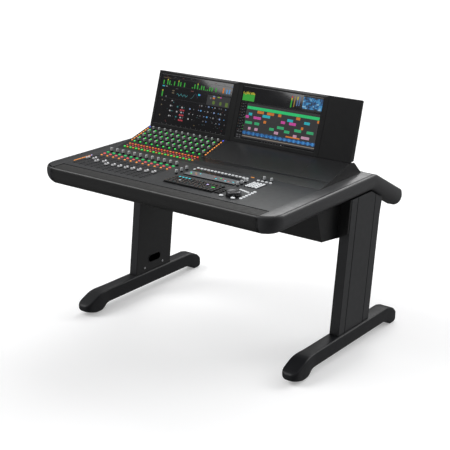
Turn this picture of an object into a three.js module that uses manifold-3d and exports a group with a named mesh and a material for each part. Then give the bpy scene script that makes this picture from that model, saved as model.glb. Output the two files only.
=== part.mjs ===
// A free-standing two-bay audio mixing console on two legs.
// Millimetres, +Z up, the operator sits on the -Y side and looks along +Y.
// Lengths along Y are counted from the front edge of the armrest, and the whole
// console is moved at the end so that its origin is the middle of its footprint.

import * as THREE from 'three';
import { mergeVertices } from 'three/addons/utils/BufferGeometryUtils.js';
import Module from 'manifold-3d';

const wasm = await Module();
wasm.setup();

// ---------------------------------------------------------------- driving sizes

const GAP = 0.3; // clearance between neighbours that touch
const SHEET = 3; // sheet-metal thickness of panels and trays

const BAY = 490; // width of one bay
const END_BAY = 164; // width of the blank bay at the right
const RAIL_W = 73; // width of a side rail
const INNER = (2 * BAY + END_BAY) / 2; // half width between the rails
const LEFT = -INNER; // left end of the panels

const DESK_Z = 799; // height of the work surface
const ARMREST_D = 85; // depth of the armrest
const STRIP_Y = 444; // where the raised button strip starts
const SLOPE_Y = 516; // where the knob slope starts
const STRIP_TILT = THREE.MathUtils.degToRad(10.8);
const SLOPE_TILT = THREE.MathUtils.degToRad(16);
const SLOPE_LEN = 172.4;
const DISPLAY_TILT = THREE.MathUtils.degToRad(72.1);
const DISPLAY_H = 276.5;

const STRIP_LEN = (SLOPE_Y - STRIP_Y) / Math.cos(STRIP_TILT);
const SLOPE_Z = DESK_Z + (SLOPE_Y - STRIP_Y) * Math.tan(STRIP_TILT);
const DISPLAY_Y = SLOPE_Y + SLOPE_LEN * Math.cos(SLOPE_TILT);
const DISPLAY_Z = SLOPE_Z + SLOPE_LEN * Math.sin(SLOPE_TILT);

const NOSE_R = 48; // how far the rounded front and side edges draw in
const NOSE_H = 83; // height of those edges
const CORNER_R = 86; // plan radius of the front corners
const BEND_Y = 797; // where the rails bend down
const RAIL_END_Y = 1044; // rear end of the rails, along their top
const RAIL_DROP = 0.533; // fall of the rear part of the rails per unit of depth
const RAIL_END_LEAN = 0.08; // lean of the rails' rear ends per unit of height

const LEG_IN = 575.5; // inner face of a leg, from the middle of the console
const LEG_OUT = 623.5; // outer face of a leg
const LEG_FRONT_Y = 544.6; // front of a leg, carried down to the floor
const LEG_D = 260; // depth of a leg
const LEG_LEAN = 0.1242; // how far a leg leans back per unit of height
const LEG_WALL = 4;
const GROOVE_W = 3.5;
const GROOVE_D = 2.5;
const GROOVE_AT = [48, 202]; // grooves in a leg's outer face, from its front

const FOOT_H = 100;
const FOOT_W = 68;
const TOE_W = 82; // a foot's width at its broad toe
const FOOT_X = 601; // middle of a foot
const FOOT_TOE_Y = 187;
const FOOT_HEEL_Y = 1072;
const ARCH_H = 31; // height of the arch under a foot

const TUB_FRONT_Y = 427; // front of the electronics tub, under the desk
const TUB_LIP = { y: 475, z: 556 }; // lower front edge of the tub
const TUB_BACK_Y = 866;

const CHANNELS = 12;
const CHANNEL_PITCH = 36.3;
const CHANNEL_X = LEFT + 30;
const FADER_MID_Y = 200;
const FADER_TRAVEL = 100;
const FADER_SLOT_W = 3;
const FADER_REST = [13, 20, -5, 8, -16, -10, -8, -5, -1, 1, 8, 15];
const KNOB_ROW_Y = 372;
const SHAFT_R = 3;
const SHAFT_CLEARANCE = 1;

const JOG = { x: LEFT + 906, y: 165, radius: 32, height: 20 };
const KEYBOARD = { x: LEFT + 545, y: 140, columns: 15, rows: 5, pitchX: 17.8, pitchY: 18.6 };
const KEYPAD = { x: LEFT + 865, y: 291, columns: 4, rows: 5, pitchX: 16.6, pitchY: 14.5 };
const KEY_GAP = 3;
const EDITOR_DISPLAY = { x: LEFT + 546, y: 276, width: 276, depth: 92, height: 5 };
const PUSH_KEY = { width: 17, depth: 12, height: 6, y: 125, travel: 2.5 };
const PUSH_KEY_X = { stop_key: LEFT + 872, play_key: LEFT + 932 };

const SCREEN_W = 440;
const SCREEN_H = 243;
const SCREEN_Y = 18.5; // lower edge of a screen, up the display from its lower edge
const SCREEN_X = { left_screen: 17, right_screen: 514 };

// ------------------------------------------------------------- geometry helpers

const AXIS_X = new THREE.Vector3(1, 0, 0);
const AXIS_Y = new THREE.Vector3(0, 1, 0);
const AXIS_Z = new THREE.Vector3(0, 0, 1);

const toVectors = (points) => points.map(([a, b]) => new THREE.Vector2(a, b));

function extrude(outline, depth) {
  const shape = new THREE.Shape(toVectors(outline));
  return new THREE.ExtrudeGeometry(shape, { depth, bevelEnabled: false });
}

// A prism whose outline lies in the (y, z) plane and which runs along X.
function prismX(outline, x0, x1) {
  const turn = new THREE.Matrix4().makeBasis(AXIS_Y, AXIS_Z, AXIS_X);
  return extrude(outline, x1 - x0).applyMatrix4(turn).translate(x0, 0, 0);
}

// A prism whose outline lies in the (x, z) plane and which runs along Y.
function prismY(outline, y0, y1) {
  const turn = new THREE.Matrix4().makeBasis(AXIS_X, AXIS_Z, AXIS_Y.clone().negate());
  return extrude(outline, y1 - y0).applyMatrix4(turn).translate(0, y1, 0);
}

// A prism whose outline lies in the (x, y) plane and which runs along Z.
function prismZ(outline, z0, z1) {
  return extrude(outline, z1 - z0).translate(0, 0, z0);
}

function block(x0, x1, y0, y1, z0, z1) {
  const geometry = new THREE.BoxGeometry(x1 - x0, y1 - y0, z1 - z0);
  return geometry.translate((x0 + x1) / 2, (y0 + y1) / 2, (z0 + z1) / 2);
}

// A turned solid around Z. The profile is a list of [radius, z] that starts and
// ends on the axis.
function turned(profile, sides, x, y) {
  const geometry = new THREE.LatheGeometry(toVectors(profile), sides);
  return geometry.rotateX(Math.PI / 2).translate(x, y, 0);
}

function upright(radius, z0, z1, x, y, sides = 16) {
  return turned([[0, z0], [radius, z0], [radius, z1], [0, z1]], sides, x, y);
}

function arc(cx, cy, radius, from, to, steps) {
  const point = (i) => {
    const angle = THREE.MathUtils.degToRad(from + ((to - from) * i) / steps);
    return [cx + radius * Math.cos(angle), cy + radius * Math.sin(angle)];
  };
  return Array.from({ length: steps + 1 }, (_, i) => point(i));
}

function roundedRectangle(x0, x1, y0, y1, radius, steps = 3) {
  return [
    ...arc(x1 - radius, y0 + radius, radius, -90, 0, steps),
    ...arc(x1 - radius, y1 - radius, radius, 0, 90, steps),
    ...arc(x0 + radius, y1 - radius, radius, 90, 180, steps),
    ...arc(x0 + radius, y0 + radius, radius, 180, 270, steps),
  ];
}

function toSolid(geometry) {
  const bare = geometry.clone();
  bare.deleteAttribute('normal');
  bare.deleteAttribute('uv');
  const merged = mergeVertices(bare, 1e-3);
  return new wasm.Manifold(new wasm.Mesh({
    numProp: 3,
    vertProperties: new Float32Array(merged.attributes.position.array),
    triVerts: new Uint32Array(merged.index.array),
  }));
}

function toGeometry(solid) {
  const mesh = solid.getMesh();
  const geometry = new THREE.BufferGeometry();
  geometry.setAttribute('position', new THREE.BufferAttribute(mesh.vertProperties, 3));
  geometry.setIndex(new THREE.BufferAttribute(mesh.triVerts, 1));
  const flat = geometry.toNonIndexed();
  flat.computeVertexNormals();
  return flat;
}

function combine(first, others, operation) {
  const result = others.reduce((solid, other) => solid[operation](toSolid(other)), toSolid(first));
  return toGeometry(result);
}

const join = (first, ...others) => combine(first, others, 'add');
const cut = (first, ...others) => combine(first, others, 'subtract');
const common = (first, ...others) => combine(first, others, 'intersect');

// A closed solid through a row of rings that all have the same number of points.
// Each ring is a convex loop, and so are the two ends.
function loft(rings) {
  const count = rings[0].length;
  const triangles = [];
  const vertex = (ring, i) => rings[ring][i % count];
  for (let ring = 0; ring < rings.length - 1; ring++) {
    for (let i = 0; i < count; i++) {
      triangles.push(vertex(ring, i), vertex(ring, i + 1), vertex(ring + 1, i + 1));
      triangles.push(vertex(ring, i), vertex(ring + 1, i + 1), vertex(ring + 1, i));
    }
  }
  const last = rings.length - 1;
  for (let i = 1; i < count - 1; i++) {
    triangles.push(vertex(0, 0), vertex(0, i + 1), vertex(0, i));
    triangles.push(vertex(last, 0), vertex(last, i), vertex(last, i + 1));
  }
  const geometry = new THREE.BufferGeometry();
  geometry.setAttribute('position', new THREE.Float32BufferAttribute(triangles.flat(), 3));
  geometry.computeVertexNormals();
  return geometry;
}

// The outline of a sheet of constant thickness that follows a bent line, given as
// [y, z] points from front to back. The sheet lies below the line.
function bentSheet(line, thickness) {
  const below = line.map((point, i) => {
    const before = line[Math.max(i - 1, 0)];
    const after = line[Math.min(i + 1, line.length - 1)];
    const one = new THREE.Vector2(point[0] - before[0], point[1] - before[1]).normalize();
    const two = new THREE.Vector2(after[0] - point[0], after[1] - point[1]).normalize();
    const along = one.clone().add(two).normalize();
    const side = one.lengthSq() > 0 ? one : two;
    const miter = thickness / Math.max(along.dot(side), 0.5);
    return [point[0] + along.y * miter, point[1] - along.x * miter];
  });
  return [...line, ...below.reverse()];
}

function mirrorX(geometry) {
  return toGeometry(toSolid(geometry).mirror([1, 0, 0]));
}

// -------------------------------------------------------------------- materials

const PALETTE = {
  rail: { color: 0x24262b, roughness: 0.45, metalness: 0.1 },
  armrest: { color: 0x454443, roughness: 0.7, metalness: 0 },
  nose: { color: 0x141415, roughness: 0.5, metalness: 0 },
  panel: { color: 0x2c2f36, roughness: 0.5, metalness: 0.3 },
  slope: { color: 0x1f2126, roughness: 0.5, metalness: 0.3 },
  housing: { color: 0x1b1c20, roughness: 0.55, metalness: 0.2 },
  screen: { color: 0x0a0b10, roughness: 0.12, metalness: 0 },
  chassis: { color: 0x121316, roughness: 0.6, metalness: 0.4 },
  leg: { color: 0x2a2d33, roughness: 0.45, metalness: 0.4 },
  plate: { color: 0x0d0e10, roughness: 0.6, metalness: 0.3 },
  foot: { color: 0x15161a, roughness: 0.4, metalness: 0.3 },
  board: { color: 0x1f4a2c, roughness: 0.6, metalness: 0 },
  supply: { color: 0xa4a7aa, roughness: 0.4, metalness: 0.8 },
  knob: { color: 0xc9ccd1, roughness: 0.3, metalness: 0.7 },
  fader: { color: 0xe6e6e8, roughness: 0.4, metalness: 0 },
  wheel: { color: 0x3a3b3f, roughness: 0.35, metalness: 0.5 },
  darkKey: { color: 0x17181b, roughness: 0.5, metalness: 0 },
  lightKey: { color: 0xf0f0ee, roughness: 0.45, metalness: 0 },
};

const materials = Object.fromEntries(
  Object.entries(PALETTE).map(([name, look]) => [name, new THREE.MeshStandardMaterial(look)]),
);

function piece(parent, name, geometry, material) {
  const mesh = new THREE.Mesh(geometry, materials[material]);
  mesh.name = name;
  parent.add(mesh);
  return mesh;
}

function frameAt(parent, y, z, tilt) {
  const group = new THREE.Group();
  group.position.set(0, y, z);
  group.rotation.x = tilt;
  parent.add(group);
  return group;
}

// --------------------------------------------------- rounded edges, rails, armrest

// The rounded edge as [inset, depth] pairs, from the top surface down.
const NOSE_SHOULDER = 12;
const NOSE = [
  [2, 0],
  [0.4, 2],
  ...arc(0, 0, 1, 180, 90, 7).map(([across, down]) => [
    NOSE_R * (1 + across),
    NOSE_SHOULDER + (NOSE_H - NOSE_SHOULDER) * down,
  ]),
];

const railTop = (y) => DESK_Z - Math.max(y - BEND_Y, 0) * RAIL_DROP;

// The level part of the right rail: one plan outline for each depth.
function railLevelPart() {
  const x0 = INNER + GAP;
  const rings = NOSE.map(([inset, depth]) => {
    const corner = arc(INNER + RAIL_W - CORNER_R, CORNER_R, CORNER_R - inset, -90, 0, 8);
    const plan = [[x0, inset], ...corner, [INNER + RAIL_W - inset, BEND_Y], [x0, BEND_Y]];
    return plan.map(([x, y]) => [x, y, DESK_Z - depth]);
  });
  return loft(rings.reverse());
}

// The rear part of the right rail: its cross-section at the bend and at its end,
// which is cut nearly plumb.
function railRearPart() {
  const x0 = INNER + GAP;
  const section = [
    [x0, 0],
    ...NOSE.map(([inset, depth]) => [INNER + RAIL_W - inset, depth]),
    [x0, NOSE_H],
  ];
  const ring = (yAt) => section.map(([x, depth]) => {
    const y = yAt(depth);
    return [x, y, railTop(y) - depth];
  });
  const inside = ring(() => BEND_Y);
  const shoulder = ring((depth) => RAIL_END_Y - 8 - depth * RAIL_END_LEAN);
  const end = ring((depth) => RAIL_END_Y - depth * RAIL_END_LEAN);
  const rounded = end.map(([x, y, z], i) => [
    i > 0 && i <= NOSE.length ? x - 6 : x,
    y,
    i <= 2 ? z - 5 : z,
  ]);
  return loft([inside, shoulder, rounded]);
}

function addRails(parent) {
  const right = join(railLevelPart(), railRearPart());
  piece(parent, 'right_side_rail', right, 'rail');
  piece(parent, 'left_side_rail', mirrorX(right), 'rail');
}

function addFront(parent) {
  const lip = 4;
  const groove = 9;
  const padDepth = 20;
  const noseOutline = [
    ...NOSE.map(([inset, depth]) => [inset, DESK_Z - depth]),
    [ARMREST_D, DESK_Z - NOSE_H],
    [ARMREST_D, DESK_Z - padDepth - GAP],
    [groove - GAP, DESK_Z - padDepth - GAP],
    [lip, DESK_Z - 8],
    [lip, DESK_Z],
  ];
  piece(parent, 'front_nose', prismX(noseOutline, LEFT, INNER), 'nose');
  const padOutline = [
    [groove, DESK_Z - padDepth],
    [ARMREST_D - 1, DESK_Z - padDepth],
    [ARMREST_D - 1, DESK_Z - 1],
    [ARMREST_D - 2, DESK_Z],
    [groove + 5, DESK_Z],
    [groove + 1, DESK_Z - 2],
    [groove, DESK_Z - 6],
  ];
  piece(parent, 'armrest_pad', prismX(padOutline, LEFT, INNER), 'armrest');
}

// ------------------------------------------------------------------ flat panels

const channelX = (channel) => CHANNEL_X + channel * CHANNEL_PITCH;

function addDeck(parent) {
  const y0 = ARMREST_D + GAP;
  const y1 = STRIP_Y - GAP;
  const seam = LEFT + BAY;
  const slots = [];
  for (let channel = 0; channel < CHANNELS; channel++) {
    const x = channelX(channel);
    const reach = FADER_TRAVEL / 2 + 5;
    const half = FADER_SLOT_W / 2;
    slots.push(block(x - half, x + half, FADER_MID_Y - reach, FADER_MID_Y + reach,
      DESK_Z - 2 * SHEET, DESK_Z + 1));
    slots.push(shaftHole(x, KNOB_ROW_Y));
  }
  const faders = block(LEFT, seam - GAP, y0, y1, DESK_Z - SHEET, DESK_Z);
  piece(parent, 'fader_panel', cut(faders, ...slots), 'panel');

  const holes = [shaftHole(JOG.x, JOG.y)];
  for (const x of Object.values(PUSH_KEY_X)) holes.push(shaftHole(x, PUSH_KEY.y));
  const editor = block(seam, INNER, y0, y1, DESK_Z - SHEET, DESK_Z);
  piece(parent, 'editor_panel', cut(editor, ...holes), 'panel');
}

function shaftHole(x, y) {
  return upright(SHAFT_R + SHAFT_CLEARANCE, DESK_Z - 2 * SHEET, DESK_Z + 1, x, y, 12);
}

function addDeckTray(parent) {
  const y0 = ARMREST_D + GAP;
  const y1 = TUB_FRONT_Y - GAP;
  const top = DESK_Z - SHEET - GAP;
  const bottom = DESK_Z - NOSE_H;
  const outside = block(LEFT, INNER, y0, y1, bottom, top);
  const inside = block(LEFT + SHEET, INNER - SHEET, y0 + SHEET, y1 - SHEET, bottom + SHEET, top + 1);
  piece(parent, 'deck_tray', cut(outside, inside), 'chassis');
}

// --------------------------------------------------------------- raised panels

function addStrip(parent) {
  const group = frameAt(parent, STRIP_Y, DESK_Z, STRIP_TILT);
  const strip = block(LEFT, INNER, GAP, STRIP_LEN - GAP, -SHEET, 0);
  piece(group, 'button_strip', strip, 'slope');
}

function addSlope(parent) {
  const group = frameAt(parent, SLOPE_Y, SLOPE_Z, SLOPE_TILT);
  const seams = [LEFT, LEFT + BAY, LEFT + 2 * BAY, INNER];
  const names = ['knob_slope_panel', 'centre_slope_panel', 'right_slope_panel'];
  names.forEach((name, i) => {
    const right = i === names.length - 1 ? seams[i + 1] : seams[i + 1] - GAP;
    piece(group, name, block(seams[i], right, GAP, SLOPE_LEN - GAP, -SHEET, 0), 'slope');
  });
}

// The closed cheek that fills the end of the slope, above the rail.
function addCheeks(parent) {
  const base = DESK_Z + GAP;
  const outline = [
    [STRIP_Y + 3, base],
    [SLOPE_Y, SLOPE_Z],
    [DISPLAY_Y - 1, DISPLAY_Z - 1],
    [717, 857],
    [777, base],
  ];
  const x0 = INNER + GAP;
  const right = prismX(outline, x0, x0 + SHEET);
  piece(parent, 'right_cheek', right, 'housing');
  piece(parent, 'left_cheek', mirrorX(right), 'housing');
}

// --------------------------------------------------------------------- displays

function addDisplays(parent) {
  const group = frameAt(parent, DISPLAY_Y, DISPLAY_Z, DISPLAY_TILT);
  const bezel = 8;
  const seams = { left_display_bezel: LEFT, right_display_bezel: LEFT + BAY };
  const screens = Object.entries(SCREEN_X);
  Object.entries(seams).forEach(([name, x], i) => {
    const [screenName, offset] = screens[i];
    const x0 = LEFT + offset;
    const frame = block(x, x + BAY - GAP, GAP, DISPLAY_H, -bezel, 0);
    const window = block(x0, x0 + SCREEN_W, SCREEN_Y, SCREEN_Y + SCREEN_H, -bezel - 1, 1);
    piece(group, name, cut(frame, window), 'housing');
    const glass = block(x0 + GAP, x0 + SCREEN_W - GAP, SCREEN_Y + GAP,
      SCREEN_Y + SCREEN_H - GAP, -bezel + 1, -0.8);
    piece(group, screenName, glass, 'screen');
  });
  const blank = block(LEFT + 2 * BAY, INNER, GAP, DISPLAY_H, -bezel, 0);
  piece(group, 'blank_display_panel', blank, 'housing');
  piece(group, 'display_rear_cover', displayRearCover(bezel), 'housing');
}

// An open-fronted tray behind the bezels, thicker at the bottom than at the top.
function displayRearCover(bezel) {
  const front = -bezel - GAP;
  const outside = [[3, front], [DISPLAY_H, front], [DISPLAY_H - 1, -18.6], [13, -33]];
  const inside = [
    [3 + SHEET, front + 1],
    [DISPLAY_H - SHEET, front + 1],
    [DISPLAY_H - SHEET - 1, -18.6 + SHEET],
    [13 + SHEET, -33 + SHEET],
  ];
  return cut(prismX(outside, LEFT, INNER), prismX(inside, LEFT + SHEET, INNER - SHEET));
}

// ---------------------------------------------------- electronics tub and hood

const legFront = (z) => LEG_FRONT_Y + LEG_LEAN * z;
const tubFloor = (y) => TUB_LIP.z - LEG_LEAN * (y - TUB_LIP.y);
const hoodTop = (y) => railTop(y) - 1;

function addTub(parent) {
  const under = SHEET + 2;
  const backTopY = TUB_BACK_Y + 28;
  const outside = [
    [TUB_FRONT_Y, DESK_Z - under],
    [TUB_FRONT_Y, DESK_Z - NOSE_H],
    [TUB_LIP.y, TUB_LIP.z],
    [TUB_BACK_Y, tubFloor(TUB_BACK_Y)],
    [backTopY, hoodTop(backTopY) - under],
    [BEND_Y, hoodTop(BEND_Y) - under],
    [775, DESK_Z - under - 1],
    [712, 851],
    [DISPLAY_Y - 4, DISPLAY_Z - 6],
    [SLOPE_Y, SLOPE_Z - under],
    [STRIP_Y, DESK_Z - under],
  ];
  const above = 70;
  const inside = [
    [TUB_FRONT_Y + SHEET, DESK_Z + above],
    [TUB_FRONT_Y + SHEET, DESK_Z - NOSE_H],
    [TUB_LIP.y + SHEET, TUB_LIP.z + SHEET],
    [TUB_BACK_Y - SHEET, tubFloor(TUB_BACK_Y) + SHEET],
    [backTopY - SHEET, hoodTop(backTopY)],
    [backTopY - SHEET, DESK_Z + above],
  ];
  const shell = cut(prismX(outside, LEFT, INNER), prismX(inside, LEFT + SHEET, INNER - SHEET));
  const right = tubEar();
  piece(parent, 'electronics_tub', join(shell, right, mirrorX(right)), 'chassis');
}

// The bracket that reaches from the tub across the front of the right leg.
function tubEar() {
  const top = DESK_Z - NOSE_H - GAP;
  const bottom = TUB_LIP.z - 24;
  const thick = 12;
  const side = [
    [legFront(bottom) - thick, bottom],
    [legFront(bottom) - GAP, bottom],
    [legFront(top) - GAP, top],
    [legFront(top) - thick, top],
  ];
  const reach = LEG_OUT - 2;
  const below = [[INNER - 10, bottom - 1], [reach + 1, bottom - 1], [reach + 1, bottom + 36],
    [INNER - 10, bottom + 1]];
  return cut(prismX(side, INNER - SHEET, reach), prismY(below, 400, 800));
}

function addHood(parent) {
  const endY = RAIL_END_Y - 8;
  const lipY = endY - 32;
  const line = [
    [719, 854],
    [777, DESK_Z - 1],
    [BEND_Y, DESK_Z - 1],
    [endY, hoodTop(endY)],
    [lipY, hoodTop(endY) - 62],
  ];
  const hood = prismX(bentSheet(line, SHEET), LEFT, INNER);
  const vents = [];
  const ventCount = 6;
  const ventW = 130;
  for (let row = 0; row < 2; row++) {
    for (let i = 0; i < ventCount; i++) {
      const x = (i - (ventCount - 1) / 2) * 170;
      const y = 850 + row * 22;
      vents.push(block(x - ventW / 2, x + ventW / 2, y, y + 8, 600, 830));
    }
  }
  piece(parent, 'rear_hood', cut(hood, ...vents), 'chassis');
}

function addElectronics(parent) {
  const group = frameAt(parent, TUB_LIP.y, TUB_LIP.z, -Math.atan(LEG_LEAN));
  const floor = SHEET + 1;
  const supply = block(-520, -330, 120, 250, floor, floor + 48);
  piece(group, 'power_supply', supply, 'supply');
  const board = block(-140, 260, 60, 300, floor + 6, floor + 8);
  const standoffs = [[-130, 70], [250, 70], [-130, 290], [250, 290]];
  const posts = standoffs.map(([x, y]) => upright(4, floor, floor + 7, x, y, 8));
  const heatSink = block(20, 90, 140, 210, floor + 7.5, floor + 30);
  const chips = [0, 1, 2, 3].map((i) => block(-100 + i * 28, -80 + i * 28, 230, 250,
    floor + 7.5, floor + 11));
  piece(group, 'processor_board', join(board, ...posts, heatSink, ...chips), 'board');
}

function addConnectorPanel(parent) {
  const backLean = Math.atan2(28, hoodTop(TUB_BACK_Y + 28) - SHEET - 2 - tubFloor(TUB_BACK_Y));
  const group = frameAt(parent, TUB_BACK_Y, tubFloor(TUB_BACK_Y), Math.PI / 2 - backLean);
  const plate = block(-260, 260, 30, 130, -SHEET - GAP - 1, -GAP);
  const inlet = block(-230, -203, 60, 80, -SHEET - 2, -2.6);
  const ports = [];
  for (let i = 0; i < 8; i++) {
    const x = -150 + i * 46;
    ports.push(block(x, x + 16, 62, 76, -SHEET - 2, -2.6));
  }
  piece(group, 'connector_panel', cut(plate, inlet, ...ports), 'supply');
}

// --------------------------------------------------------------- legs and feet

// The side outline of a leg, cut off by the underside of the rail.
function legOutline(inset = 0) {
  const bottom = FOOT_H + GAP + inset;
  const top = DESK_Z - NOSE_H - GAP - inset;
  const back = (z) => legFront(z) + LEG_D - inset;
  const topBackY = back(660) + 8;
  const topBack = railTop(topBackY) - NOSE_H - GAP - inset * 1.2;
  const flare = 590;
  return [
    [legFront(bottom) + inset, bottom],
    [back(bottom), bottom],
    [back(flare), flare],
    [topBackY, topBack],
    [BEND_Y, top],
    [legFront(top) + inset, top],
  ];
}

function legColumn() {
  const x0 = LEG_IN + SHEET + GAP;
  const column = prismX(legOutline(), x0, LEG_OUT);
  const hollow = prismX(legOutline(LEG_WALL), x0 - 1, LEG_OUT - LEG_WALL);
  const grooves = GROOVE_AT.map((at) => {
    const edge = (z, extra) => [legFront(z) + at + extra, z];
    const outline = [edge(50, 0), edge(50, GROOVE_W), edge(760, GROOVE_W), edge(760, 0)];
    return prismX(outline, LEG_OUT - GROOVE_D, LEG_OUT + 1);
  });
  return cut(column, hollow, ...grooves);
}

const CABLE_HOLE = { y: 696, z: 163, length: 94, height: 40 };

function legPlate() {
  const plate = prismX(legOutline(), LEG_IN, LEG_IN + SHEET);
  const { y, z, length, height } = CABLE_HOLE;
  const outline = roundedRectangle(y - length / 2, y + length / 2, z - height / 2, z + height / 2,
    height / 2 - 0.01, 6);
  return cut(plate, prismX(outline, LEG_IN - 1, LEG_IN + SHEET + 1));
}

// The plan of a foot's bar, drawn in by an inset: a round front and a softer heel.
function footPlan(z, inset) {
  const heelR = 18;
  const right = FOOT_X + FOOT_W / 2 - heelR;
  const left = FOOT_X - FOOT_W / 2 + heelR;
  const heelY = FOOT_HEEL_Y - heelR;
  const plan = [
    ...arc(FOOT_X, FOOT_TOE_Y + FOOT_W / 2, FOOT_W / 2 - inset, 180, 360, 12),
    ...arc(right, heelY, heelR - inset, 0, 90, 4),
    ...arc(left, heelY, heelR - inset, 90, 180, 4),
  ];
  return plan.map(([x, y]) => [x, y, z]);
}

// The plan of the broad toe, which narrows into the bar.
function toePlan(z, inset) {
  const half = FOOT_W / 2 - inset;
  const backY = FOOT_TOE_Y + 165;
  const plan = [
    ...arc(FOOT_X, FOOT_TOE_Y + TOE_W / 2, TOE_W / 2 - inset, 180, 360, 16),
    [FOOT_X + half, backY],
    [FOOT_X - half, backY],
  ];
  return plan.map(([x, y]) => [x, y, z]);
}

// A foot is a casting with an arch between its toe and its heel, chamfered along
// its top edges and rounded along its lower ones.
function foot() {
  const toe = FOOT_TOE_Y;
  const heel = FOOT_HEEL_Y;
  const side = [
    [toe, 42], [toe + 8, 34], [toe + 20, 28], [toe + 36, 20], [toe + 60, 7], [toe + 84, 0],
    [toe + 104, 0], [toe + 116, 5], [toe + 136, 24], [toe + 150, ARCH_H],
    [heel - 122, ARCH_H], [heel - 92, 24], [heel - 70, 10], [heel - 54, 0],
    [heel - 24, 0], [heel - 9, 6], [heel - 1, 18], [heel, 34],
    [heel - 8, 54], [heel - 30, 72], [heel - 62, 89], [heel - 96, FOOT_H],
    [toe + 145, FOOT_H], [toe + 120, 98.5], [toe + 100, 94], [toe + 80, 86.5], [toe + 60, 76],
    [toe + 42, 67], [toe + 27, 59], [toe + 15, 54.5], [toe + 2, 50],
  ];
  const chamfer = 7;
  const [bar, toeCap] = [footPlan, toePlan].map((plan) => loft([
    plan(0, 14),
    plan(4, 7),
    plan(14, 0),
    plan(FOOT_H - chamfer, 0),
    plan(FOOT_H, chamfer),
  ]));
  return common(join(bar, toeCap), prismX(side, FOOT_X - FOOT_W, FOOT_X + FOOT_W));
}

function addLegs(parent) {
  const pieces = {
    leg_column: [legColumn(), 'leg'],
    leg_plate: [legPlate(), 'plate'],
    foot: [foot(), 'foot'],
  };
  for (const [name, [geometry, material]] of Object.entries(pieces)) {
    piece(parent, `right_${name}`, geometry, material);
    piece(parent, `left_${name}`, mirrorX(geometry), material);
  }
}

// --------------------------------------------------------------------- controls

// A fader cap: a saddle with raised ends, and the lever that runs in the slot.
function faderCap(x, y) {
  const z = DESK_Z + 1;
  const half = 11;
  const saddle = [
    [y - half, z], [y + half, z], [y + half - 1, z + 9], [y + half - 4, z + 10],
    [y + 2, z + 6.5], [y - 2, z + 6.5], [y - half + 4, z + 10], [y - half + 1, z + 9],
  ];
  const lever = block(x - 0.8, x + 0.8, y - 4, y + 4, DESK_Z - 8, z + 2);
  return join(prismX(saddle, x - 5.5, x + 5.5), lever);
}

function knob(x, y, radius, height) {
  const z = DESK_Z + 0.8;
  const skirt = radius + 0.8;
  return turned([
    [0, DESK_Z - 8], [SHAFT_R, DESK_Z - 8], [SHAFT_R, z], [skirt, z], [skirt, z + 3],
    [radius, z + 4], [radius - 0.6, z + height - 1], [radius - 1.4, z + height], [0, z + height],
  ], 16, x, y);
}

function jogWheel() {
  const z = DESK_Z + 0.8;
  const { radius, height } = JOG;
  return turned([
    [0, DESK_Z - 8], [SHAFT_R, DESK_Z - 8], [SHAFT_R, z], [radius, z], [radius, z + height - 5],
    [radius - 3, z + height - 1], [radius - 6, z + height], [14, z + height - 1], [0, z + height - 1],
  ], 36, JOG.x, JOG.y);
}

function keyMat({ x, y, columns, rows, pitchX, pitchY }, base, height) {
  const z = DESK_Z + GAP;
  const mat = block(x, x + columns * pitchX, y, y + rows * pitchY, z, z + base);
  const keys = [];
  for (let row = 0; row < rows; row++) {
    for (let column = 0; column < columns; column++) {
      const left = x + column * pitchX + KEY_GAP / 2;
      const front = y + row * pitchY + KEY_GAP / 2;
      keys.push(block(left, left + pitchX - KEY_GAP, front, front + pitchY - KEY_GAP,
        z + base / 2, z + height));
    }
  }
  return join(mat, ...keys);
}

function pushKey(x) {
  const z = DESK_Z + PUSH_KEY.travel + 0.5;
  const { width, depth, height, y } = PUSH_KEY;
  const cap = block(x - width / 2, x + width / 2, y - depth / 2, y + depth / 2, z, z + height - 2);
  const stem = upright(SHAFT_R, DESK_Z - 8, z + 1, x, y, 12);
  return join(cap, stem);
}

function addControls(parent) {
  for (let channel = 0; channel < CHANNELS; channel++) {
    const number = String(channel + 1).padStart(2, '0');
    const x = channelX(channel);
    piece(parent, `fader_cap_${number}`, faderCap(x, FADER_MID_Y + FADER_REST[channel]), 'fader');
    piece(parent, `channel_knob_${number}`, knob(x, KNOB_ROW_Y, 6.2, 19), 'knob');
  }
  piece(parent, 'jog_wheel', jogWheel(), 'wheel');
  piece(parent, 'keyboard', keyMat(KEYBOARD, 2, 6), 'darkKey');
  piece(parent, 'keypad', keyMat(KEYPAD, 2, 6), 'lightKey');
  const { x, y, width, depth, height } = EDITOR_DISPLAY;
  const display = block(x, x + width, y, y + depth, DESK_Z + GAP, DESK_Z + height);
  piece(parent, 'editor_display', display, 'screen');
  for (const [name, keyX] of Object.entries(PUSH_KEY_X)) {
    piece(parent, name, pushKey(keyX), 'lightKey');
  }
}

// ----------------------------------------------------------------- the console

const consoleGroup = new THREE.Group();
consoleGroup.position.y = -FOOT_HEEL_Y / 2;

addRails(consoleGroup);
addFront(consoleGroup);
addDeck(consoleGroup);
addDeckTray(consoleGroup);
addStrip(consoleGroup);
addSlope(consoleGroup);
addCheeks(consoleGroup);
addDisplays(consoleGroup);
addTub(consoleGroup);
addHood(consoleGroup);
addElectronics(consoleGroup);
addConnectorPanel(consoleGroup);
addLegs(consoleGroup);
addControls(consoleGroup);

const root = new THREE.Group();
root.add(consoleGroup);

export default root;
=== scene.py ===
"""A free-standing audio mixing console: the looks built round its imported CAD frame."""

import math
import random

import bpy
import bmesh
from mathutils import Matrix, Vector


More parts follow.
